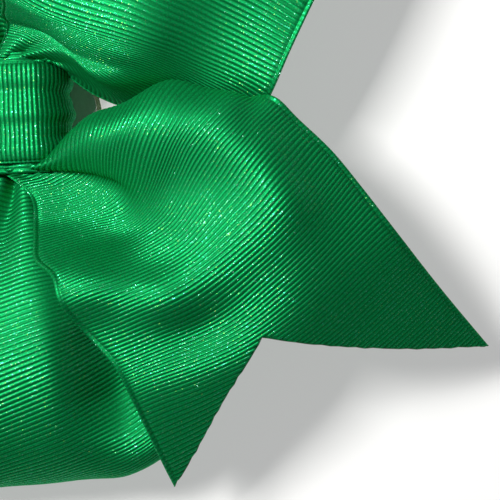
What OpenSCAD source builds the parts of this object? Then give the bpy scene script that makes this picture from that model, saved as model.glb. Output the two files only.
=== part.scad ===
// Gift bow in wide ribbed ribbon, shown lying on its back.
// +Z points out of the face of the bow, X runs from loop to loop and the
// two tails spread towards -Y. The origin is the centre of the back, on the
// surface that the bow lies on. All sizes are in millimetres.

/* [Ribbon] */
// Width of the ribbon at the free ends and round the loops
ribbon_w = 76; // [70:1:80]
// Thickness of one ribbon layer as a solid
ribbon_t = 1.2; // [1:0.1:1.4]

/* [Loops] */
// Reach of each loop from the middle of the bow
loop_reach = 87; // [84:1:88]
// Height of the loops above the surface
loop_h = 35; // [33:1:36]
// Half width of the pleats where a loop leaves the knot
loop_neck = 8.5; // [7:0.5:10]
// Angle by which each loop droops towards the tails
loop_droop = 4; // [2:1:6]

/* [Tails] */
// Heading of each tail, measured from the loop axis
tail_heading = 45; // [43:1:47]
// Distance from the middle to the outer tip of the swallowtail
tail_outer = 83.4; // [80:0.2:86]
// Distance from the middle to the inner tip of the swallowtail
tail_inner = 118.8; // [112:0.2:124]
// Distance from the middle to the vertex of the V cut
tail_notch = 75.7; // [70:0.1:78]
// Half of the gap left between the two tails
tail_gap = 0.4; // [0.3:0.1:1]

/* [Knot] */
// Length of the knot band along the loop axis
knot_len = 22; // [18:1:24]
// Outside radius of the knot band
knot_r = 10; // [9.5:0.5:10]
// Half length of the flats of the knot band
knot_flat = 3; // [2:0.5:4]
// Wall of the knot band
knot_wall = 1; // [0.8:0.1:1.2]
// Diameter of the gather wire
wire_d = 1; // [0.8:0.1:1]

/* [Back] */
// Radius of the backing card
card_r = 18; // [16:1:18]
// Thickness of the backing card
card_t = 0.6; // [0.4:0.1:0.8]
// Radius of the adhesive foam pad
pad_r = 15; // [12:1:16]
// Thickness of the adhesive foam pad
pad_t = 1.5; // [1:0.1:1.6]
// Radius of the release liner
liner_r = 19; // [17:1:19]
// Thickness of the release liner
liner_t = 0.2; // [0.15:0.05:0.3]
// Length of the pull tab beyond the liner
tab_len = 8; // [5:1:10]

/* [Hidden] */

$fn = 64;

card_z = liner_t + pad_t;
knot_z0 = card_z + card_t;
knot_z = knot_z0 + knot_r;
core_r = knot_r - knot_wall;
core_end = 14;
half_w = ribbon_w / 2;

// A smooth curve through a list of points: n steps between neighbours
function at(p, i) = p[max(0, min(len(p) - 1, i))];
function cr(a, b, c, d, t) =
    0.5 * (2 * b + (c - a) * t
    + (2 * a - 5 * b + 4 * c - d) * t * t
    + (3 * b - a - 3 * c + d) * t * t * t);
function curve(p, n) = concat(
    [for (i = [0 : len(p) - 2]) for (k = [0 : n - 1])
        cr(at(p, i - 1), p[i], p[i + 1], at(p, i + 2), k / n)],
    [p[len(p) - 1]]);

// The outline of a strip of thickness t that follows a curve
function unit(v) = v / norm(v);
function side(q, i) =
    let (d = unit(at(q, i + 1) - at(q, i - 1))) [-d[1], d[0]];
function strip(q, t) = concat(
    [for (i = [0 : len(q) - 1]) q[i] + side(q, i) * t / 2],
    [for (i = [len(q) - 1 : -1 : 0]) q[i] - side(q, i) * t / 2]);

// Side view of a loop, from the top of the neck round to the bottom
loop_path = [
    [12, 12.4], [19, 13.4], [26, 18], [34, 24.8], [44, 30.8],
    [56, loop_h - ribbon_t / 2 - 0.1],
    [loop_reach - 14, loop_h - 1.9], [loop_reach - 5, loop_h - 6.6],
    [loop_reach - ribbon_t / 2 - 0.1, 20],
    [loop_reach - 3, 11], [loop_reach - 10, 4.6], [60, 1.4],
    [48, 0.6], [36, 0.8], [26, 2.8], [19, 5], [12, 5.8]
];

// Half of the plan of a loop: it fans from the pleats to the full width
loop_plan = [
    [10, loop_neck], [core_end, loop_neck], [20, loop_neck + 4.5], [30, half_w - 13],
    [40, half_w - 5], [50, half_w - 1], [58, half_w], [95, half_w]
];

// Side view of a tail along its heading: up over the loop, then down
tail_path = [
    [4, 17.2], [10, 17.6], [15, 19], [21, 23.2], [28, 29.6],
    [36, 34.8], [44, 38], [52, 40], [60, 40.8], [68, 40.2],
    [76, 38], [86, 34.6], [97, 30.8], [108, 27], [124, 22]
];

// Plan of a tail as distance along its heading and offset across it
tail_plan = [
    [7.3, 14.3], [15, 16.3], [28, 19.8], [44, 23.6],
    [60, half_w - 10], [tail_outer, half_w - 1.2],
    [tail_notch, 2], [tail_inner, 2.6 - half_w],
    [89, 0.2 - half_w], [60, -half_w - 2.6], [42, -half_w - 4.4],
    [10.9, -10.3], [20.4, -0.1]
];

module loop_shape() {
    intersection() {
        rotate([0, 0, -loop_droop])
            intersection() {
                rotate([90, 0, 0])
                    translate([0, 0, -ribbon_w])
                        linear_extrude(2 * ribbon_w)
                            polygon(strip(curve(loop_path, 4), ribbon_t));
                linear_extrude(60)
                    polygon(concat(loop_plan,
                        [for (i = [len(loop_plan) - 1 : -1 : 0])
                            [loop_plan[i][0], -loop_plan[i][1]]]));
            }
        translate([core_end, -150, 0]) cube([150, 250, 60]);
    }
}

module loop_right() {
    color("seagreen") loop_shape();
}

module loop_left() {
    color("seagreen") mirror([1, 0, 0]) loop_shape();
}

// The right-hand tail, with a short flat neck where it leaves the pleats
module tail_shape() {
    intersection() {
        rotate([0, 0, -tail_heading])
            intersection() {
                rotate([90, 0, 0])
                    translate([0, 0, -ribbon_w])
                        linear_extrude(2 * ribbon_w)
                            polygon(strip(curve(tail_path, 4), ribbon_t));
                linear_extrude(70) polygon(tail_plan);
            }
        translate([tail_gap, -200, 0]) cube([200, 250, 80]);
    }
    translate([core_end + 0.3, -7, 15.9]) cube([6, 10, 2.6]);
}

module tail_right() {
    color("green") tail_shape();
}

module tail_left() {
    color("green") mirror([1, 0, 0]) tail_shape();
}

// A flattened round: two half circles joined by flats
module flat_round(r) {
    union() {
        for (s = [-1, 1]) translate([s * knot_flat, 0]) circle(r);
        square([2 * knot_flat, 2 * r], center = true);
    }
}

// Runs a flattened round along the loop axis, centred on the knot
module along_loops(len) {
    translate([-len / 2, 0, knot_z])
        rotate([90, 0, 90]) linear_extrude(len) children();
}

module gathered_centre() {
    color("darkgreen")
        difference() {
            along_loops(2 * core_end) flat_round(core_r);
            along_loops(2.4 * wire_d)
                difference() {
                    flat_round(core_r + 1);
                    flat_round(core_r - wire_d);
                }
            translate([0, -wire_d * 1.1, knot_z - core_r - 1])
                cube([9.5, wire_d * 2.2, wire_d + 1]);
        }
}

module knot_band() {
    color("seagreen")
        along_loops(knot_len)
            difference() {
                flat_round(knot_r);
                flat_round(core_r);
            }
}

// One turn of wire round the pleats
module wire_turn() {
    r = core_r - wire_d / 2;
    for (s = [-1, 1])
        translate([0, s * knot_flat, 0])
            rotate([0, 90, 0])
                rotate([0, 0, s > 0 ? 0 : 180])
                    rotate_extrude(angle = 180)
                        translate([r, 0]) circle(wire_d / 2);
    for (s = [-1, 1])
        translate([0, 0, s * r])
            rotate([90, 0, 0])
                cylinder(h = 2 * knot_flat, d = wire_d, center = true);
}

module gather_wire() {
    color("silver") {
        for (s = [-1, 1])
            translate([s * wire_d * 0.6, 0, knot_z]) wire_turn();
        for (s = [-1, 1])
            translate([wire_d * 0.6, s * wire_d * 0.65, knot_z - core_r + wire_d / 2])
                rotate([0, 90, 0]) cylinder(h = 8.4, d = wire_d * 0.8);
    }
}

module glue_beads() {
    color("ivory")
        for (s = [-1, 1])
            difference() {
                translate([-8, s * 7.6, knot_z0])
                    rotate([0, 90, 0]) cylinder(h = 16, r = 2.4);
                translate([-20, -20, knot_z0 - 10]) cube([40, 40, 10]);
                along_loops(2 * knot_len) flat_round(knot_r);
            }
}

module backing_card() {
    color("white")
        translate([0, 0, card_z]) cylinder(h = card_t, r = card_r);
}

module adhesive_pad() {
    color("whitesmoke")
        translate([0, 0, liner_t]) cylinder(h = pad_t, r = pad_r);
}

module release_liner() {
    color("lightyellow")
        union() {
            cylinder(h = liner_t, r = liner_r);
            translate([-6, 0, 0])
                cube([12, liner_r + tab_len - 6, liner_t]);
            translate([0, liner_r + tab_len - 6, 0])
                cylinder(h = liner_t, r = 6);
        }
}

tail_left();
tail_right();
loop_left();
loop_right();
gathered_centre();
knot_band();
gather_wire();
glue_beads();
backing_card();
adhesive_pad();
release_liner();
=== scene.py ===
"""Gift bow in wide green glitter grosgrain, lying on its back."""

import math

import bmesh
import bpy
import numpy as np
from mathutils import Matrix, Vector


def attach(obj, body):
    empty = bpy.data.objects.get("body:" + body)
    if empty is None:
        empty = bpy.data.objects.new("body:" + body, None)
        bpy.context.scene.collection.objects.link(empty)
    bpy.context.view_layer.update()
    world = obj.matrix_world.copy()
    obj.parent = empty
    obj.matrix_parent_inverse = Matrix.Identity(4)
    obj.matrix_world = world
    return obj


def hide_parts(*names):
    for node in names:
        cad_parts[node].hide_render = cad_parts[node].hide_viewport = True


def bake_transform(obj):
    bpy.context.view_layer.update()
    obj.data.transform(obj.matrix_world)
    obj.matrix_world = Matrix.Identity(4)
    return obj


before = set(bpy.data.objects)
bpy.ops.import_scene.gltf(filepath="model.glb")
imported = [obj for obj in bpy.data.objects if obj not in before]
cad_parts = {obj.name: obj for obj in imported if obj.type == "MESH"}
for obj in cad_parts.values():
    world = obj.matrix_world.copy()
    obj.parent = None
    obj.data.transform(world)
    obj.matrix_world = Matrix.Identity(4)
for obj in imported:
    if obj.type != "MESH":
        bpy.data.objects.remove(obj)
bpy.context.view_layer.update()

MM = 0.001
PITCH = 1.1  # mm from rib to rib
HALF = 38.0  # mm, half the ribbon's width
RIB_RELIEF, CORD_RELIEF = 0.23, 0.34  # mm, of the woven ribs and the selvage cord
CLOTH = 0.42  # mm, the ribbon's thickness between ribs
LOOSE_FLAKES = 2200  # on each tail and each loop
KNOT_Z, KNOT_FLAT = 12.3, 3.0  # mm, the knot's middle and half of its flat
RNG = np.random.default_rng(7)

# ---------------------------------------------------------------- the ribbon's course
# Each rib of a tail is a line of points (x, y, z) in mm, from its inner selvage to its
# outer one, with its distance along the ribbon from the knot. Another program printed
# LEFT_RIBS and RIGHT_RIBS from points read off a photo, and part of them was then
# changed. That isn't good practice.
NECK_LEFT = [
    (-12.5, -9, 15), (-13, -9.5, 18), (-13, -8, 20), (-13, -6, 20), (-13, -5, 17),
    (-13, -4, 17.2), (-13, -3, 20.2), (-13, -1.5, 20.2), (-13, -0.5, 17), (-13, 0.5, 17),
    (-13, 1.2, 20), (-13, 2.5, 20), (-13, 3.2, 18), (-13, 4, 17.5),
]
LEFT_RIBS = [
    (0, NECK_LEFT),
    (12, [(-3.5, -16, 14), (-2.5, -18.5, 17), (-1, -18.5, 21), (-2.5, -18, 26), (-4.5, -17, 30),
          (-7, -16.5, 31), (-10, -16, 29.5), (-12.5, -16, 26.5), (-14.5, -16, 23), (-14, -16.5, 21),
          (-15.5, -15.5, 20), (-16.5, -13, 19.5), (-18, -10, 19), (-18.5, -6.5, 19), (-19.5, -3, 19)]),
    (19, [(-2, -24.5, 14), (-1, -27, 19), (0, -27, 24.5), (-0.5, -26, 29.5), (-2.5, -25, 33),
          (-4.5, -24, 35.2), (-7.5, -22.5, 35.2), (-11, -21.5, 33), (-14, -21, 29.5), (-16, -21, 26),
          (-15.5, -21, 23.5), (-17, -20.5, 22), (-19.5, -17.5, 21.5), (-21, -13.5, 21),
          (-22, -9, 21), (-23, -4, 21.5)]),
    (26.5, [(1.5, -35.5, 18), (4, -37, 24), (5.5, -36.5, 29), (2.5, -34, 34), (-0.5, -32.5, 37),
            (-3.5, -30.5, 38.5), (-7.5, -28.5, 38), (-11, -27, 35.5), (-15, -26, 32), (-18, -25, 28.5),
            (-17.5, -25.5, 26), (-19.5, -24, 24), (-22, -21, 23.5), (-24, -17, 23),
            (-25, -12, 22.5), (-26.5, -4, 23.5)]),
    (34, [(-1, -43.5, 22), (1.5, -45, 28), (2.5, -45, 33.5), (0, -42.5, 37.5), (-2.5, -40, 40),
          (-5.5, -38.5, 41), (-9, -36, 40), (-13, -34, 37.5), (-16.5, -32.5, 34.5), (-20, -31, 31.5),
          (-23, -29, 29), (-25, -27, 27), (-26.5, -23, 26), (-27, -18.5, 25.5),
          (-28.5, -13, 26), (-30.5, -4.5, 28)]),
    (41.5, [(-1, -53, 29), (0.5, -54, 34), (0.5, -52.5, 38), (-2, -49, 41), (-4.5, -46.5, 42.5),
            (-7.5, -43.5, 42.5), (-11, -40.5, 40.5), (-15, -38.5, 38), (-19.5, -36, 35),
            (-23.5, -33.5, 33), (-27, -30, 30.5), (-29.5, -25, 28.5), (-31, -19.5, 29),
            (-32.5, -13, 31), (-35, -5, 33)]),
    (49, [(0, -60, 37), (-3, -57, 39), (-5.5, -54, 41), (-8.5, -51.5, 43.5), (-11, -48.5, 43.5),
          (-14.5, -46, 41.5), (-18.5, -43, 39), (-23, -40, 37.5), (-27.5, -36.5, 36),
          (-30.5, -32, 34), (-33, -27, 33.5), (-34.5, -21.5, 34.5), (-36, -16, 36.5), (-38, -9.5, 38)]),
    (58, [(-5.5, -65.5, 37), (-8.5, -62, 39.5), (-11.5, -59, 43), (-16, -55, 44.5), (-20.5, -51.5, 43),
          (-24.5, -47.5, 41.5), (-29, -43.5, 40.5), (-33, -39.5, 39), (-36, -34, 38),
          (-38, -29, 38.5), (-40, -23, 41), (-41.5, -17, 42), (-44, -11, 40)]),
    (68, [(-12.5, -72.5, 36.5), (-18.5, -67, 40.5), (-23, -62.5, 45.5), (-29.5, -56, 45),
          (-34, -50.5, 44), (-38, -45, 43.5), (-41.5, -39.5, 43.5), (-44, -34, 44),
          (-46, -28.5, 42), (-48.5, -22, 39.5), (-50.5, -15.5, 37)]),
    (80, [(-21, -79, 36), (-27, -73.5, 39.5), (-32.5, -68, 42.5), (-37.5, -62.5, 43.5), (-42, -57, 43),
          (-46.5, -51.5, 42), (-50, -46, 40), (-52.5, -40, 39.5), (-55, -33, 39.5), (-59, -22.5, 37.5)]),
    (91, [(-30, -85.5, 35.5), (-37.5, -76.5, 39), (-47, -65.5, 41.5), (-55.5, -52.5, 42),
          (-60, -41.5, 41), (-63.5, -30.5, 38.5), (-65.5, -25.5, 36.5)]),
    (114, [(-45, -97, 27), (-53, -87.5, 30), (-61, -77, 32), (-68, -65.5, 33), (-74.5, -53, 31),
           (-81, -42, 29), (-85.5, -33, 27)]),
    (137, [(-59.5, -109, 17), (-67.5, -99, 20), (-76, -87.5, 22), (-84, -74, 22), (-89, -62.5, 19),
           (-94, -51, 17), (-100.5, -39, 14)]),
]
RIGHT_RIBS = [
    (0, [(-x, y, z) for x, y, z in NECK_LEFT]),
    (12, [(4, -19, 15), (5, -19.5, 19), (7, -18.5, 22.5), (9.5, -17, 25), (12.5, -14, 26),
          (15, -11, 25), (17, -7.5, 24), (19, -4, 22.5), (20.5, 0, 21.5)]),
    (22, [(-1, -31, 16), (0.5, -30, 20), (2.5, -27.5, 23.5), (4, -25, 27), (5.5, -22, 29.5),
          (7.5, -19.5, 30), (10.5, -17, 29), (14, -14, 27.5), (17.5, -10, 26.5), (20, -5, 25.5),
          (22.5, 1, 25)]),
    (31, [(-5, -46, 20), (-1.5, -43, 22), (1, -39.5, 24), (4, -35.5, 27.5), (5.5, -31.5, 31),
          (7, -27.5, 32.5), (8.5, -23.5, 32), (10.5, -19.5, 31), (13.5, -15, 30), (17, -10.5, 29),
          (20.5, -6, 28.5), (24.5, 0, 28.5)]),
    (40, [(-6, -55, 24), (-1, -52, 26), (1.5, -47.5, 27.5), (4.5, -42.5, 29), (7, -37.5, 32),
          (9, -33, 35), (10.5, -28, 36), (12.5, -23, 35), (15, -18, 33.5), (18.5, -12, 32),
          (22, -6, 31.5), (26, 0, 31.5)]),
    (49, [(0, -60, 33), (3, -55.5, 31.5), (6, -50, 30.5), (8.5, -44.5, 31), (11, -39, 33.5),
          (12.5, -34, 36.5), (14.5, -28.5, 37.5), (16.5, -23, 36.5), (18.5, -17.5, 35),
          (22, -9.5, 33.5), (27, -2, 33)]),
    (58, [(8, -64, 35.5), (11, -59, 34.5), (14, -54, 33.5), (17, -48.5, 33.5), (20, -43, 35.5),
          (22.5, -37.5, 38), (25.5, -32, 39), (28.5, -25.5, 37.5), (32, -17.5, 36), (36, -8.5, 34.5)]),
    (68, [(16.5, -68.5, 36.5), (20.5, -63, 36.5), (24, -57.5, 36.5), (27, -52, 37), (30, -46.5, 38),
          (33, -41, 39.5), (36.5, -34.5, 40.5), (40.5, -27, 39.5), (44.5, -18, 38), (48, -9.5, 36.5)]),
    (80, [(30.5, -76, 36), (35.5, -70, 39.5), (40.5, -63.5, 42.5), (44.5, -57.5, 43.5), (49, -51.5, 43),
          (52.5, -45.5, 42), (55, -39.5, 40), (57, -33, 39.5), (58.5, -26, 39.5), (61, -15, 37.5)]),
    (91, [(40, -81, 35.5), (47, -71.5, 39), (54.5, -59.5, 41.5), (61.5, -45.5, 42), (64.5, -34, 41),
          (67, -22.5, 38.5), (68, -17.5, 36.5)]),
    (114, [(56.5, -91, 27), (63.5, -80, 30), (70, -69, 32), (75.5, -57, 33), (80.5, -43.5, 31),
           (85.5, -31.5, 29), (89, -22, 27)]),
    (137, [(72.5, -101, 17), (79.5, -90, 20), (86, -77.5, 22), (92.5, -63, 22), (96, -51, 19),
           (99.5, -39.5, 17), (104.5, -26.5, 14)]),
]
NOTCH_S, NOTCH_W = 91.0, 3.0  # where the V cut's vertex is, along and across
INNER_TIP, OUTER_TIP = 46.0, 26.5  # how far each point reaches beyond the vertex


# ---------------------------------------------------------------- curves and lofts
def hermite(knots, values, at):
    """A smooth curve through values at knots, sampled at each of at. Values may be arrays."""
    k = np.asarray(knots, float)
    v = np.asarray(values, float)
    slope = np.empty_like(v)
    step = np.diff(k)
    secant = np.diff(v, axis=0) / step.reshape((-1,) + (1,) * (v.ndim - 1))
    a = step[:-1].reshape((-1,) + (1,) * (v.ndim - 1))
    b = step[1:].reshape((-1,) + (1,) * (v.ndim - 1))
    slope[1:-1] = (b * secant[:-1] + a * secant[1:]) / (a + b)
    slope[0], slope[-1] = secant[0], secant[-1]
    i = np.clip(np.searchsorted(k, at, side="right") - 1, 0, len(k) - 2)
    h = (k[i + 1] - k[i]).reshape((-1,) + (1,) * (v.ndim - 1))
    t = ((np.asarray(at, float) - k[i])).reshape((-1,) + (1,) * (v.ndim - 1)) / h
    return (
        (2 * t**3 - 3 * t**2 + 1) * v[i]
        + (t**3 - 2 * t**2 + t) * h * slope[i]
        + (3 * t**2 - 2 * t**3) * v[i + 1]
        + (t**3 - t**2) * h * slope[i + 1]
    )


def even(points, n):
    """n points spaced evenly along a smooth curve through points."""
    p = np.asarray(points, float)
    d = np.concatenate([[0], np.cumsum(np.linalg.norm(np.diff(p, axis=0), axis=1) ** 0.7)])
    fine = hermite(d, p, np.linspace(0, d[-1], 400))
    run = np.concatenate([[0], np.cumsum(np.linalg.norm(np.diff(fine, axis=0), axis=1))])
    at = np.linspace(0, run[-1], n)
    return np.stack([np.interp(at, run, fine[:, c]) for c in range(3)], 1)


def blur(grid, axis, sigma):
    """Smooths a grid of points along an axis, keeping its two ends where they are."""
    n = int(3 * sigma)
    kernel = np.exp(-0.5 * (np.arange(-n, n + 1) / sigma) ** 2)
    kernel /= kernel.sum()
    g = np.moveaxis(grid, axis, 0)
    head = 2 * g[:1] - g[n:0:-1]
    tail = 2 * g[-1:] - g[-2 : -n - 2 : -1]
    long = np.concatenate([head, g, tail])
    out = sum(kernel[k] * long[k : k + len(g)] for k in range(2 * n + 1))
    return np.moveaxis(out, 0, axis)


def loft(ribs, blur_s=2.2, blur_w=1.6, across=77):
    """(distances along, grid of points) for a strip through ribs, one row each mm."""
    s = [r[0] for r in ribs]
    grid = np.stack([even(r[1], across) for r in ribs])
    along = np.arange(s[0], s[-1] + 0.5)
    grid = hermite(s, grid, along)
    return along, blur(blur(grid, 0, blur_s), 1, blur_w)


def across_samples():
    """Offsets across the ribbon in mm, closer together at the two selvages."""
    edge = HALF - np.array([0, 0.15, 0.5, 0.85, 1.1, 1.35, 1.7, 2.6])
    inner = np.linspace(3.8 - HALF, HALF - 3.8, 45)
    return np.concatenate([-edge, inner, edge[::-1]])


def rib_height(s, w):
    """Height of the woven ribs, and of the selvage cord, in mm."""
    rib = np.abs(np.sin(math.pi * s / PITCH)) ** 0.8 * RIB_RELIEF
    e = HALF - np.abs(w)
    cord = CORD_RELIEF * np.sqrt(np.clip(1 - ((e - 0.55) / 0.55) ** 2, 0, 1))
    groove = np.exp(-(((e - 1.25) / 0.18) ** 2))
    inside = np.clip((e - 1.2) / 0.3, 0, 1)
    return rib * inside + cord * (e < 1.1) - 0.16 * groove


def strip_mesh(name, along, grid, cut=None, thick=CLOTH, half=HALF):
    """(object, surface) of a ribbed ribbon, as a closed thin sheet. cut(w) gives where it
    ends at offset w, and the surface is its upper points, their normals and distances."""
    w = across_samples() * half / HALF
    s = np.arange(along[0], along[-1] + PITCH / 8, PITCH / 4)
    col = (half - w) / (2 * half) * (grid.shape[1] - 1)
    end = np.full(len(w), s[-1]) if cut is None else np.minimum(cut(w), s[-1])
    sij = np.minimum(s[:, None], end[None, :])

    def sample(a, b):
        """Points of the grid at distance a and column b, by cubic interpolation."""
        fa = np.clip((a - along[0]) / (along[1] - along[0]), 0, grid.shape[0] - 1 - 1e-6)
        fb = np.clip(b, 0, grid.shape[1] - 1 - 1e-6)
        ia, ib = fa.astype(int), fb.astype(int)
        ta, tb = (fa - ia)[..., None], (fb - ib)[..., None]

        def weights(t):
            return (
                -0.5 * t + t * t - 0.5 * t**3,
                1 - 2.5 * t * t + 1.5 * t**3,
                0.5 * t + 2 * t * t - 1.5 * t**3,
                -0.5 * t * t + 0.5 * t**3,
            )

        wa, wb = weights(ta), weights(tb)
        out = 0
        for p in range(4):
            jj = ia + p - 1
            over = np.clip(jj, 0, grid.shape[0] - 1)
            for q in range(4):
                kk = np.clip(ib + q - 1, 0, grid.shape[1] - 1)
                out = out + wa[p] * wb[q] * grid[over, kk]
        return out

    a = sij
    b = np.broadcast_to(col[None, :], sij.shape)
    mid = sample(a, b)
    ds = sample(a + 0.4, b) - sample(a - 0.4, b)
    dw = sample(a, b + 0.4) - sample(a, b - 0.4)
    n = np.cross(dw, ds)
    n /= np.maximum(np.linalg.norm(n, axis=2, keepdims=True), 1e-9)
    if n[len(s) // 2, len(w) // 2, 2] < 0 and cut is not None:
        n = -n
    h = rib_height(sij, np.broadcast_to(w * HALF / half, sij.shape))[..., None]
    up = mid + n * (thick / 2 + h)
    down = mid - n * (thick / 2 + h)
    rows, cols = sij.shape
    verts = np.concatenate([up.reshape(-1, 3), down.reshape(-1, 3)]) * MM
    i, j = np.meshgrid(np.arange(rows - 1), np.arange(cols - 1), indexing="ij")
    keep = s[i] < np.maximum(end[j], end[j + 1]) - 1e-6
    i, j = i[keep], j[keep]
    q = i * cols + j
    m = rows * cols
    top = np.stack([q, q + cols, q + cols + 1, q + 1], 1)
    under = np.stack([q, q + 1, q + cols + 1, q + cols], 1) + m
    walls = []
    e = np.arange(cols - 1)
    last = (rows - 1) * cols
    walls.append(np.stack([e, e + 1, e + 1 + m, e + m], 1))
    walls.append(np.stack([last + e + 1, last + e, last + e + m, last + e + 1 + m], 1))
    for c, flip in ((0, False), (cols - 1, True)):
        r = np.arange(rows - 1)
        r = r[s[r] < end[c] - 1e-6]
        v = r * cols + c
        wall = np.stack([v + cols, v, v + m, v + cols + m], 1)
        walls.append(wall[:, ::-1] if flip else wall)
    faces = np.concatenate([top, under] + walls)
    uv = np.stack([np.broadcast_to(w, sij.shape), sij], 2).reshape(-1, 2) * MM
    uv = np.concatenate([uv, uv + [0.2, 0.0]])
    return make_mesh(name, verts, faces, uv, weld=True), (up * MM, n, sij)


def make_mesh(name, verts, faces, uv=None, weld=False, smooth=True):
    """A mesh object from arrays, with a UV map in metres of cloth where uv is given."""
    mesh = bpy.data.meshes.new(name)
    size = faces.shape[1]
    mesh.vertices.add(len(verts))
    mesh.vertices.foreach_set("co", np.asarray(verts, np.float32).ravel())
    mesh.loops.add(faces.size)
    mesh.loops.foreach_set("vertex_index", faces.astype(np.int32).ravel())
    mesh.polygons.add(len(faces))
    mesh.polygons.foreach_set("loop_start", np.arange(0, faces.size, size, dtype=np.int32))
    mesh.polygons.foreach_set("loop_total", np.full(len(faces), size, np.int32))
    if uv is not None:
        layer = mesh.uv_layers.new(name="cloth")
        layer.data.foreach_set("uv", uv[faces.ravel()].astype(np.float32).ravel())
    mesh.update(calc_edges=True)
    if weld:
        bm = bmesh.new()
        bm.from_mesh(mesh)
        bmesh.ops.remove_doubles(bm, verts=bm.verts, dist=2e-6)
        bmesh.ops.dissolve_degenerate(bm, edges=bm.edges, dist=1e-7)
        bmesh.ops.recalc_face_normals(bm, faces=bm.faces)
        bm.to_mesh(mesh)
        bm.free()
    mesh.validate()
    mesh.polygons.foreach_set("use_smooth", np.full(len(mesh.polygons), smooth))
    ob = bpy.data.objects.new(name, mesh)
    bpy.context.scene.collection.objects.link(ob)
    return ob


# ---------------------------------------------------------------- materials
def new_material(name):
    mat = bpy.data.materials.new(name)
    mat.use_nodes = True
    nt = mat.node_tree
    return mat, nt, nt.nodes["Principled BSDF"]


def math_node(nt, op, a, b=None, c=None, clamp=False):
    n = nt.nodes.new("ShaderNodeMath")
    n.operation, n.use_clamp = op, clamp
    for i, v in enumerate((a, b, c)):
        if v is None:
            continue
        if isinstance(v, (int, float)):
            n.inputs[i].default_value = v
        else:
            nt.links.new(v, n.inputs[i])
    return n.outputs[0]


def vec_node(nt, op, a, b=None, scale=None):
    n = nt.nodes.new("ShaderNodeVectorMath")
    n.operation = op
    for i, v in enumerate((a, b)):
        if v is None:
            continue
        if isinstance(v, tuple):
            n.inputs[i].default_value = v
        else:
            nt.links.new(v, n.inputs[i])
    if scale is not None:
        n.inputs["Scale"].default_value = scale
    return n.outputs["Vector"]


def mix_color(nt, fac, a, b):
    n = nt.nodes.new("ShaderNodeMix")
    n.data_type = "RGBA"
    for socket, v in ((n.inputs[0], fac), (n.inputs[6], a), (n.inputs[7], b)):
        if isinstance(v, (int, float, tuple)):
            socket.default_value = v
        else:
            nt.links.new(v, socket)
    return n.outputs[2]


def flake_layer(nt, uv, rib, size_mm, share, tilt, seed):
    """(mask, normal, colour number) of one layer of glitter flakes, most on the ribs' crests."""
    shift = vec_node(nt, "ADD", uv, (seed * 0.37, seed * 0.91, 0.0))
    v = nt.nodes.new("ShaderNodeTexVoronoi")
    v.voronoi_dimensions = "2D"
    v.inputs["Scale"].default_value = 1000.0 / size_mm
    nt.links.new(shift, v.inputs["Vector"])
    part = nt.nodes.new("ShaderNodeSeparateColor")
    nt.links.new(v.outputs["Color"], part.inputs[0])
    white = nt.nodes.new("ShaderNodeTexWhiteNoise")
    white.noise_dimensions = "3D"
    nt.links.new(v.outputs["Color"], white.inputs["Vector"])
    limit = math_node(nt, "MULTIPLY", math_node(nt, "POWER", rib, 2.0), share * 1.6)
    chosen = math_node(nt, "LESS_THAN", white.outputs["Value"], limit)
    near = math_node(nt, "LESS_THAN", v.outputs["Distance"], 0.42)
    mask = math_node(nt, "MULTIPLY", math_node(nt, "MULTIPLY", chosen, near), 0.75)
    geo = nt.nodes.new("ShaderNodeNewGeometry")
    swing = vec_node(nt, "SUBTRACT", v.outputs["Color"], (0.5, 0.5, 0.5))
    swing = vec_node(nt, "SCALE", swing, scale=tilt)
    normal = vec_node(nt, "NORMALIZE", vec_node(nt, "ADD", geo.outputs["Normal"], swing))
    return mask, normal, part.outputs[0]


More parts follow.
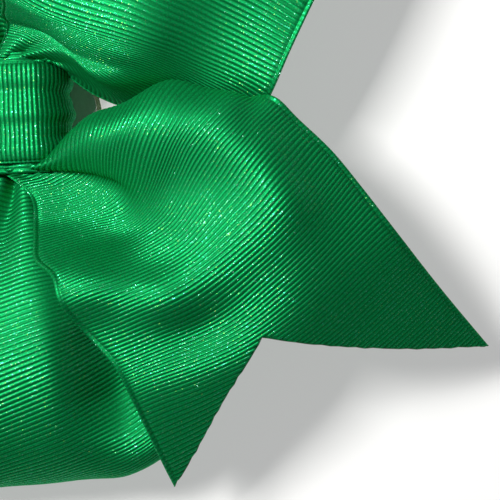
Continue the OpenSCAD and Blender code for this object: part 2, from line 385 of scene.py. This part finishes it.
def ribbon_material(name="glitter_grosgrain", share=0.14):
    """Deep green woven ribs, with glitter flakes of two sizes set in them."""
    mat, nt, base = new_material(name)
    tex = nt.nodes.new("ShaderNodeUVMap")
    tex.uv_map = "cloth"
    uv = tex.outputs[0]
    part = nt.nodes.new("ShaderNodeSeparateXYZ")
    nt.links.new(uv, part.inputs[0])
    along = math_node(nt, "MULTIPLY", part.outputs[1], math.pi / (PITCH * MM))
    rib = math_node(nt, "ABSOLUTE", math_node(nt, "SINE", along))
    threads = nt.nodes.new("ShaderNodeTexNoise")
    threads.noise_dimensions = "2D"
    threads.inputs["Scale"].default_value = 3200.0
    threads.inputs["Detail"].default_value = 1.0
    nt.links.new(uv, threads.inputs["Vector"])
    patch = nt.nodes.new("ShaderNodeTexNoise")
    patch.noise_dimensions = "2D"
    patch.inputs["Scale"].default_value = 60.0
    nt.links.new(uv, patch.inputs["Vector"])
    shade = math_node(nt, "MULTIPLY", rib, threads.outputs[0])
    # the grooves' colour is darker than the crests': painted shade in the grooves between the ribs, on
    # top of their relief
    groove, crest = (0.0, 0.100, 0.021, 1), (0.0010, 0.345, 0.088, 1)
    green = mix_color(nt, math_node(nt, "POWER", rib, 0.7), groove, crest)
    green = mix_color(nt, math_node(nt, "MULTIPLY", shade, 0.35), green, (0.004, 0.300, 0.090, 1))
    grain = math_node(nt, "MULTIPLY_ADD", threads.outputs[0], -3.2, 1.95, clamp=True)
    green = mix_color(nt, math_node(nt, "MULTIPLY", grain, 0.62), green, (0.0, 0.085, 0.018, 1))
    worn = math_node(nt, "MULTIPLY", patch.outputs[0], 0.25)
    green = mix_color(nt, worn, green, (0.0, 0.11, 0.024, 1))
    nt.links.new(green, base.inputs["Base Color"])
    base.inputs["Roughness"].default_value = 0.56
    base.inputs["Metallic"].default_value = 0.76
    base.inputs["Anisotropic"].default_value = 0.50
    tangent = nt.nodes.new("ShaderNodeTangent")
    tangent.direction_type, tangent.uv_map = "UV_MAP", "cloth"
    nt.links.new(tangent.outputs[0], base.inputs["Tangent"])
    base.inputs["Specular IOR Level"].default_value = 0.6
    base.inputs["Specular Tint"].default_value = (0.30, 1.0, 0.70, 1)
    out = base.outputs[0]
    for size, part_share, tilt, seed in ((0.18, share, 0.42, 1), (0.26, share * 0.5, 0.36, 2)):
        mask, normal, number = flake_layer(nt, uv, rib, size, part_share, tilt, seed)
        ramp = nt.nodes.new("ShaderNodeValToRGB")
        stops = ramp.color_ramp.elements
        stops[0].position, stops[0].color = 0.0, (0.01, 0.30, 0.09, 1)
        stops[1].position, stops[1].color = 1.0, (0.22, 0.32, 0.08, 1)
        for at, colour in (
            (0.35, (0.03, 0.36, 0.17, 1)),
            (0.55, (0.04, 0.34, 0.30, 1)),
            (0.72, (0.14, 0.38, 0.27, 1)),
            (0.9, (0.05, 0.38, 0.06, 1)),
        ):
            ramp.color_ramp.elements.new(at).color = colour
        nt.links.new(number, ramp.inputs[0])
        flake = nt.nodes.new("ShaderNodeBsdfPrincipled")
        flake.inputs["Metallic"].default_value = 1.0
        flake.inputs["Roughness"].default_value = 0.32
        nt.links.new(ramp.outputs[0], flake.inputs["Base Color"])
        nt.links.new(normal, flake.inputs["Normal"])
        mix = nt.nodes.new("ShaderNodeMixShader")
        nt.links.new(mask, mix.inputs[0])
        nt.links.new(out, mix.inputs[1])
        nt.links.new(flake.outputs[0], mix.inputs[2])
        out = mix.outputs[0]
    nt.links.new(out, nt.nodes["Material Output"].inputs["Surface"])
    return mat


def plain_material(name, colour, rough, metal=0.0, bump=0.0, scale=900.0):
    """A simple surface with a little procedural variation in its colour and its relief."""
    mat, nt, base = new_material(name)
    coord = nt.nodes.new("ShaderNodeTexCoord")
    noise = nt.nodes.new("ShaderNodeTexNoise")
    noise.inputs["Scale"].default_value = scale
    noise.inputs["Detail"].default_value = 4.0
    nt.links.new(coord.outputs["Object"], noise.inputs["Vector"])
    dark = tuple(c * 0.82 for c in colour) + (1,)
    nt.links.new(mix_color(nt, noise.outputs[0], dark, colour + (1,)), base.inputs["Base Color"])
    base.inputs["Roughness"].default_value = rough
    base.inputs["Metallic"].default_value = metal
    if bump:
        b = nt.nodes.new("ShaderNodeBump")
        b.inputs["Distance"].default_value = bump
        nt.links.new(noise.outputs[0], b.inputs["Height"])
        nt.links.new(b.outputs[0], base.inputs["Normal"])
    return mat


# ---------------------------------------------------------------- pieces
def v_cut(w):
    """Where the swallowtail ends, at each offset across the ribbon."""
    wave = 0.12 * np.sin(w * 2.1) + 0.08 * np.sin(w * 5.3 + 1)
    inner = NOTCH_S + INNER_TIP * (w + NOTCH_W) / (HALF + NOTCH_W)
    outer = NOTCH_S + OUTER_TIP * (-NOTCH_W - w) / (HALF - NOTCH_W)
    return np.where(w > -NOTCH_W, inner, outer) + wave


def flakes(name, surface, count, material):
    """Loose glitter: tiny tilted six-sided flakes lying on a surface."""
    up, n, sij = surface
    rows, cols = sij.shape
    i = RNG.integers(2, rows - 2, count)
    j = RNG.integers(1, cols - 1, count)
    fresh = sij[i, j] > sij[i - 1, j]
    i, j = i[fresh], j[fresh]
    RNG.random((len(i), 1))  # a spare draw, which keeps the flakes where they are
    edge = up[i, np.minimum(j + 1, cols - 1)] - up[i, j]
    centre = up[i, j] + edge * RNG.random((len(i), 1))
    normal = n[i, j] + RNG.normal(0, 0.22, (len(i), 3))
    normal /= np.linalg.norm(normal, axis=1, keepdims=True)
    side = np.cross(normal, RNG.normal(0, 1, (len(i), 3)))
    side /= np.linalg.norm(side, axis=1, keepdims=True)
    other = np.cross(normal, side)
    r = RNG.uniform(0.04, 0.085, (len(i), 1)) * MM
    centre = centre + n[i, j] * 0.05 * MM
    ring = []
    for k in range(6):
        a = k * math.pi / 3
        ring.append(centre + side * r * math.cos(a) + other * r * math.sin(a))
    verts = np.stack(ring, 1).reshape(-1, 3)
    faces = np.arange(len(verts)).reshape(-1, 6)
    ob = make_mesh(name, verts, faces, smooth=False)
    ob.data.materials.append(material)
    return ob


def tail(side, ribs, material, flake_mat):
    """One tail: its ribbon, its loose glitter and its sealed edge."""
    along, grid = loft(ribs)
    ob, surface = strip_mesh(f"tail_{side}_ribbon", along, grid, cut=v_cut)
    ob.data.materials.append(material)
    loose = flakes(f"tail_{side}_glitter", surface, LOOSE_FLAKES, flake_mat)
    edge = sealed_edge(side, surface)
    return ob, loose, edge


def sealed_edge(side, surface):
    """The heat-sealed bead along the V cut."""
    up, n, _ = surface
    path = up[-1] - n[-1] * 0.25 * MM
    return tube(f"tail_{side}_sealed_edge", path, 0.16 * MM, 6)


def tube(name, path, radius, sides=8, wobble=0.25):
    """A thin bead along a path, uneven in thickness."""
    t = np.gradient(path, axis=0)
    t /= np.maximum(np.linalg.norm(t, axis=1, keepdims=True), 1e-12)
    ref = np.where(np.abs(t[:, 2:3]) > 0.9, [[1.0, 0, 0]], [[0, 0, 1.0]])
    a = np.cross(t, ref)
    a /= np.linalg.norm(a, axis=1, keepdims=True)
    b = np.cross(t, a)
    r = radius * (1 + wobble * RNG.uniform(-1, 1, (len(path), 1)))
    turns = np.linspace(0, 2 * math.pi, sides, endpoint=False)
    rings = [path + (a * math.cos(x) + b * math.sin(x)) * r for x in turns]
    verts = np.stack(rings, 1).reshape(-1, 3)
    i, k = np.meshgrid(np.arange(len(path) - 1), np.arange(sides), indexing="ij")
    i, k = i.ravel(), k.ravel()
    m = (k + 1) % sides
    near, far = i * sides, (i + 1) * sides
    faces = np.stack([near + k, far + k, far + m, near + m], 1)
    return make_mesh(name, verts, faces)


# The side view of a loop in mm, from the top of the knot round to its foot, and half of
# its width at each distance out from the knot
LOOP_PATH = [
    (12.5, 14.5), (19, 16.5), (26, 20), (35, 25.6), (46, 31.4), (58, 34.4), (71, 33.2),
    (81.5, 28.0), (86.8, 19.5), (85, 10.6), (77, 4.2), (63, 1.5), (50, 0.75), (37, 1.1),
    (26, 3.2), (19, 5.6), (12.5, 7.5),
]
LOOP_HALF = [
    (12, 8.0), (16, 9.5), (20, 13), (30, 25), (40, 32.5), (50, 36), (60, 37.4), (95, 37.6),
]
LOOP_LEAN, LOOP_TURN = 12.0, 2.8  # mm the ribs slant over half the width, and degrees


def loop_grid(sign):
    """(distances along, grid) of one loop: pleated at the knot, open at its two sides."""
    n, m = 176, 77
    fine = 700  # steps along the side view
    mid = fine / 2  # about where the loop turns back under itself
    path = even(np.array([(x, 0, z) for x, z in LOOP_PATH], float), fine + 1)
    run = np.linalg.norm(np.diff(path, axis=0), axis=1).sum()
    tangent = np.gradient(path, axis=0)
    tangent /= np.linalg.norm(tangent, axis=1, keepdims=True)
    along = np.linspace(0, run, n)
    t = np.linspace(1, -1, m)
    hump = np.interp(along / run, [0, 0.1, 0.32, 0.5, 0.75, 1], [0, 0.25, 1, 1, 0.3, 0])
    spot = (along[:, None] + LOOP_LEAN * t[None, :] * hump[:, None]) / run * fine
    spot = np.clip(spot, 0, fine)
    courses = (path[:, 0], path[:, 2], tangent[:, 0], tangent[:, 2])
    x, z, tx, tz = (np.interp(spot, np.arange(fine + 1), v) for v in courses)
    half = np.interp(x, *zip(*LOOP_HALF))
    tt = np.broadcast_to(t, x.shape)
    top = np.clip((mid - spot) / 60, -1, 1)
    room = np.clip(1 - half / HALF, 0, 1)
    pleat = 2.6 * room**0.7 * np.cos(tt * 3.6 * math.pi + 0.6 * top) * (1 - 0.25 * tt * tt)
    belly = np.sin(math.pi * np.clip(spot / mid, 0, 1)) * (top > 0)
    dome = belly * (0.6 - 2.5 * tt**2 + 0.8 * np.sin(4 * tt + 0.05 * x))
    upper = 1 - np.clip((spot - mid) / 90, 0, 1)
    low = np.clip((spot - mid + 60) / 90, 0, 1)
    front = np.clip((-0.12 - tt) / 0.5, 0, 1)
    sag = np.interp(x, [30, 42, 54, 68, 78, 88], [0, 6, 14, 13, 5, 0]) * upper
    rise = np.interp(x, [62, 76, 88], [0, 4, 7]) * np.clip(-tt - 0.2, 0, 1) * upper
    tilt = rise - sag * front**2 * (3 - 2 * front)
    x, z = x - tz * pleat, z + tx * pleat + dome + tilt
    corner = np.clip((np.abs(tt) - 0.5) / 0.5, 0, 1) ** 2
    x = x - corner * np.clip((x - 30) / 57, 0, 1) * 8.5
    tuck = 0.28 * sag + 5.5 * low * np.clip((x - 30) / 30, 0, 1)
    y = tt * half + tuck * front
    turn = math.radians(-LOOP_TURN)
    c, s = math.cos(turn), math.sin(turn)
    grid = np.stack([(x * c - y * s) * sign, x * s + y * c, np.maximum(z, 0.7)], 2)
    return along, blur(blur(grid, 0, 1.5), 1, 1.2)


def loop(side, sign, material, flake_mat):
    """One loop and its loose glitter."""
    along, grid = loop_grid(sign)
    ob, surface = strip_mesh(f"loop_{side}_ribbon", along, grid)
    ob.data.materials.append(material)
    return ob, flakes(f"loop_{side}_glitter", surface, LOOSE_FLAKES, flake_mat)


def flat_round(r, a):
    """A point of the knot's flattened round, at angle a."""
    y, z = r * np.cos(a), r * np.sin(a)
    return y + np.sign(np.cos(a)) * KNOT_FLAT * np.minimum(1, np.abs(np.cos(a)) * 4), z


def knot_band(material):
    """The short strip wrapped round the middle, gathered into soft pleats."""
    n, m = 300, 45
    half = 11.0
    a = np.linspace(0, 2 * math.pi, n)
    x = np.linspace(-half, half, m)
    pleat = 0.55 * np.cos(x / half * math.pi * 2.5) + 0.18 * np.cos(x * 1.7 + 1)
    tuck = -1.2 * np.clip((np.abs(x) - 9.6) / 1.4, 0, 1) ** 2
    grid = np.zeros((n, m, 3))
    for k in range(n):
        pinch = 1 + 0.25 * np.cos(2 * a[k])
        r = 9.75 + (pleat * pinch + tuck) * 0.8
        y, z = flat_round(r, np.full(m, a[k]))
        grid[k] = np.stack([x * (1 - 0.05 * np.cos(2 * a[k])), y, z + KNOT_Z], 1)
    steps = np.linalg.norm(np.diff(grid[:, m // 2], axis=0), axis=1)
    run = np.concatenate([[0], np.cumsum(steps)])
    along = np.linspace(0, run[-1], n)
    grid = hermite(run, grid, along)
    ob, _ = strip_mesh("knot_band_ribbon", along, grid, thick=0.4, half=half)
    ob.data.materials.append(material)
    return ob


def gathered_centre(material):
    """The pleats that run through the knot, seen at its two ends."""
    n, m = 120, 181
    reach = 14.2
    x = np.linspace(-reach, reach, n)
    a = np.linspace(0, 2 * math.pi, m)
    grid = np.zeros((n, m, 3))
    for k in range(n):
        flare = np.clip((abs(x[k]) - 10) / 4, 0, 1)
        r = 7.9 + (0.55 + 0.5 * flare) * np.cos(a * 15) + 0.3 * np.cos(a * 4 + x[k] * 0.2)
        y, z = flat_round(r, a)
        grid[k] = np.stack([np.full(m, x[k]), y, z + KNOT_Z], 1)
    along = np.linspace(0, 2 * reach, n)
    ob, _ = strip_mesh("gathered_centre_ribbon", along, grid, thick=0.3)
    ob.data.materials.append(material)
    return ob


def glue_bead(name, centre, material):
    """A soft irregular bead of hot-melt glue."""
    n, m = 48, 24
    u = np.linspace(0, math.pi, n)
    v = np.linspace(0, 2 * math.pi, m, endpoint=False)
    verts = []
    for p in u:
        for q in v:
            lump = 1 + 0.10 * math.sin(5 * p + 2 * q) + 0.06 * math.sin(9 * p - 3 * q)
            verts.append((
                centre[0] - 7.8 * math.cos(p),
                centre[1] + 2.2 * math.sin(p) ** 0.5 * math.cos(q) * lump,
                centre[2] + max(0.0, 1.5 * math.sin(p) ** 0.5 * math.sin(q) * lump),
            ))
    i, k = np.meshgrid(np.arange(n - 1), np.arange(m), indexing="ij")
    i, k = i.ravel(), k.ravel()
    kk = (k + 1) % m
    faces = np.stack([i * m + k, i * m + kk, (i + 1) * m + kk, (i + 1) * m + k], 1)
    ob = make_mesh(name, np.array(verts) * MM, faces, weld=True)
    ob.data.materials.append(material)
    return ob


def liner(material):
    """The release paper: a thin disc with a pull tab that curls a little."""
    n, m = 97, 25
    disc_r, tab_r, tab_y = 19, 6.0, 21  # the disc, the tab's round end and its centre
    verts = []
    for y in np.linspace(0.1 - disc_r, tab_y + tab_r - 0.1, n):
        disc = math.sqrt(max(disc_r**2 - y * y, 0)) if abs(y) < disc_r else 0
        tab = tab_r if y < tab_y else math.sqrt(max(tab_r**2 - (y - tab_y) ** 2, 0))
        half = max(disc, tab if y > 0 else 0, 0.4)
        if 0 < y < disc_r:
            half = max(disc, tab_r + 3 * math.exp(-((y - 17.5) / 2.0) ** 2) * 0.4)
        for t in np.linspace(-1, 1, m):
            curl = 1.3 * max(0, (y - disc_r) / 8) ** 2
            verts.append((t * half, y, 0.02 + curl))
    top = np.array(verts)
    thick = top + [0, 0, 0.16]
    i, k = np.meshgrid(np.arange(n - 1), np.arange(m - 1), indexing="ij")
    i, k = i.ravel(), k.ravel()
    q, c = i * m + k, n * m
    low = np.stack([q, q + m, q + m + 1, q + 1], 1)
    high = np.stack([q, q + 1, q + m + 1, q + m], 1) + c
    rim = []
    for r in range(n - 1):
        rim.append((r * m, r * m + c, (r + 1) * m + c, (r + 1) * m))
        e = r * m + m - 1
        rim.append((e, e + m, e + m + c, e + c))
    for k in range(m - 1):
        rim.append((k, k + 1, k + 1 + c, k + c))
        e = (n - 1) * m + k
        rim.append((e, e + c, e + 1 + c, e + 1))
    ob = make_mesh("release_liner_paper", np.concatenate([top, thick]) * MM,
                   np.concatenate([low, high, np.array(rim)]), weld=True)
    ob.data.materials.append(material)
    return ob


def dress_cad(node, material):
    """Gives its material to a CAD solid that is kept as it is."""
    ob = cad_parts[node]
    ob.data.materials.clear()
    ob.data.materials.append(material)


# ---------------------------------------------------------------- the stage
def floor():
    """The pale floor, with a faint glow of its own."""
    mesh = bpy.data.meshes.new("floor")
    r, z = 3.0, -0.0002
    corners = [(-r, -r, z), (r, -r, z), (r, r, z), (-r, r, z)]
    mesh.from_pydata(corners, [], [(0, 1, 2, 3)])
    ob = bpy.data.objects.new("floor", mesh)
    bpy.context.scene.collection.objects.link(ob)
    mat = plain_material("pale_floor", (0.55, 0.55, 0.55), 0.8, scale=3.0)
    shader = mat.node_tree.nodes["Principled BSDF"]
    shader.inputs["Emission Color"].default_value = (1, 1, 1, 1)
    shader.inputs["Emission Strength"].default_value = 0.42
    mesh.materials.append(mat)


def aim(ob, target):
    """Turns an object so that it faces a target."""
    ob.rotation_euler = (Vector(target) - ob.location).to_track_quat("-Z", "Y").to_euler()


def area_light(name, place, target, size, power, colour=(1, 1, 1)):
    data = bpy.data.lights.new(name, "AREA")
    data.size, data.energy, data.color = size, power, colour
    ob = bpy.data.objects.new(name, data)
    ob.location = place
    bpy.context.scene.collection.objects.link(ob)
    aim(ob, target)


def lights():
    """A small strong key light, two faint fills and the room's own light."""
    centre = Vector((-0.03, -0.05, 0.03))
    key = Vector((0.294, 0.509, 0.809))  # towards the key light, from a fit to the shading
    area_light("key", centre + key * 0.7, centre, 0.18, 8.4, (1.0, 0.99, 0.96))
    area_light("overhead", centre + Vector((0.05, -0.1, 0.9)), centre, 0.8, 0.30, (0.95, 0.98, 1.0))
    area_light("front", centre + Vector((-0.5, -0.7, 0.35)), centre, 0.6, 0.12, (1.0, 1.0, 1.0))
    studio_world()
    bpy.context.scene.view_settings.view_transform = "Standard"


def studio_world():
    """A dim room with a pale wall low down all round, behind the floor's far edge."""
    world = bpy.data.worlds.new("studio")
    world.use_nodes = True
    nt = world.node_tree
    back = nt.nodes["Background"]
    back.inputs[0].default_value = (1, 1, 1, 1)
    coord = nt.nodes.new("ShaderNodeTexCoord")
    part = nt.nodes.new("ShaderNodeSeparateXYZ")
    nt.links.new(coord.outputs["Generated"], part.inputs[0])
    wall = nt.nodes.new("ShaderNodeMapRange")
    wall.interpolation_type = "SMOOTHSTEP"
    for socket, value in zip(wall.inputs[1:5], (0.14, 0.26, 0.50, 0.05)):
        socket.default_value = value
    nt.links.new(part.outputs[2], wall.inputs[0])
    nt.links.new(wall.outputs[0], back.inputs[1])
    bpy.context.scene.world = world


def camera():
    """The photo's view: straight down, with the tails' spread to the right."""
    place = Vector((-0.0345, -0.0539, 0.390))
    data = bpy.data.cameras.new("camera")
    data.sensor_width = 36.0
    data.lens = 113.9
    data.clip_start = 0.01
    ob = bpy.data.objects.new("camera", data)
    bpy.context.scene.collection.objects.link(ob)
    roll = math.radians(2.54)
    right = Vector((-math.sin(roll), -math.cos(roll), 0))
    up = Vector((math.cos(roll), -math.sin(roll), 0))
    back = Vector((0, 0, 1))
    ob.matrix_world = Matrix((
        (right.x, up.x, back.x, place.x),
        (right.y, up.y, back.y, place.y),
        (right.z, up.z, back.z, place.z),
        (0, 0, 0, 1),
    ))
    bpy.context.scene.camera = ob


# ---------------------------------------------------------------- assembly
def build():
    """Makes every piece, joins it to the frame and sets the stage."""
    camera()
    cloth = ribbon_material()
    flake_mat = plain_material("loose_glitter", (0.22, 0.55, 0.42), 0.34, metal=1.0)
    sealed = plain_material("sealed_edge", (0.02, 0.10, 0.03), 0.35, scale=700)
    for side, ribs in (("left", LEFT_RIBS), ("right", RIGHT_RIBS)):
        ob, loose, edge = tail(side, ribs, cloth, flake_mat)
        edge.data.materials.append(sealed)
        for piece in (ob, loose, edge):
            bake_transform(piece)
        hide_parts(f"tail_{side}")
    for side, sign in (("left", -1), ("right", 1)):
        ob, loose = loop(side, sign, cloth, flake_mat)
        for piece in (ob, loose):
            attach(piece, "bow")
        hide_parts(f"loop_{side}")
    band = knot_band(cloth)
    centre = gathered_centre(cloth)
    for ob, node in ((band, "knot_band"), (centre, "gathered_centre")):
        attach(ob, "bow")
        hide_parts(node)
    glue = plain_material("hot_melt_glue", (0.80, 0.74, 0.58), 0.25, scale=300)
    beads = [glue_bead(f"glue_bead_{k}", (0, y, 2.3), glue) for k, y in ((1, -7.4), (2, 7.4))]
    for ob in beads:
        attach(ob, "bow")
        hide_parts("glue_beads")
    paper = liner(plain_material("release_paper", (0.88, 0.84, 0.62), 0.35, scale=200))
    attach(paper, "liner")
    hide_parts("release_liner")
    wire = plain_material("florist_wire", (0.62, 0.62, 0.60), 0.3, metal=1.0)
    card = plain_material("card", (0.84, 0.83, 0.80), 0.8, bump=0.00003, scale=1500)
    foam = plain_material("foam", (0.90, 0.90, 0.87), 0.9, bump=0.00012, scale=2600)
    for node, material in (("gather_wire", wire), ("backing_card", card), ("adhesive_pad", foam)):
        dress_cad(node, material)
    floor()
    lights()


build()
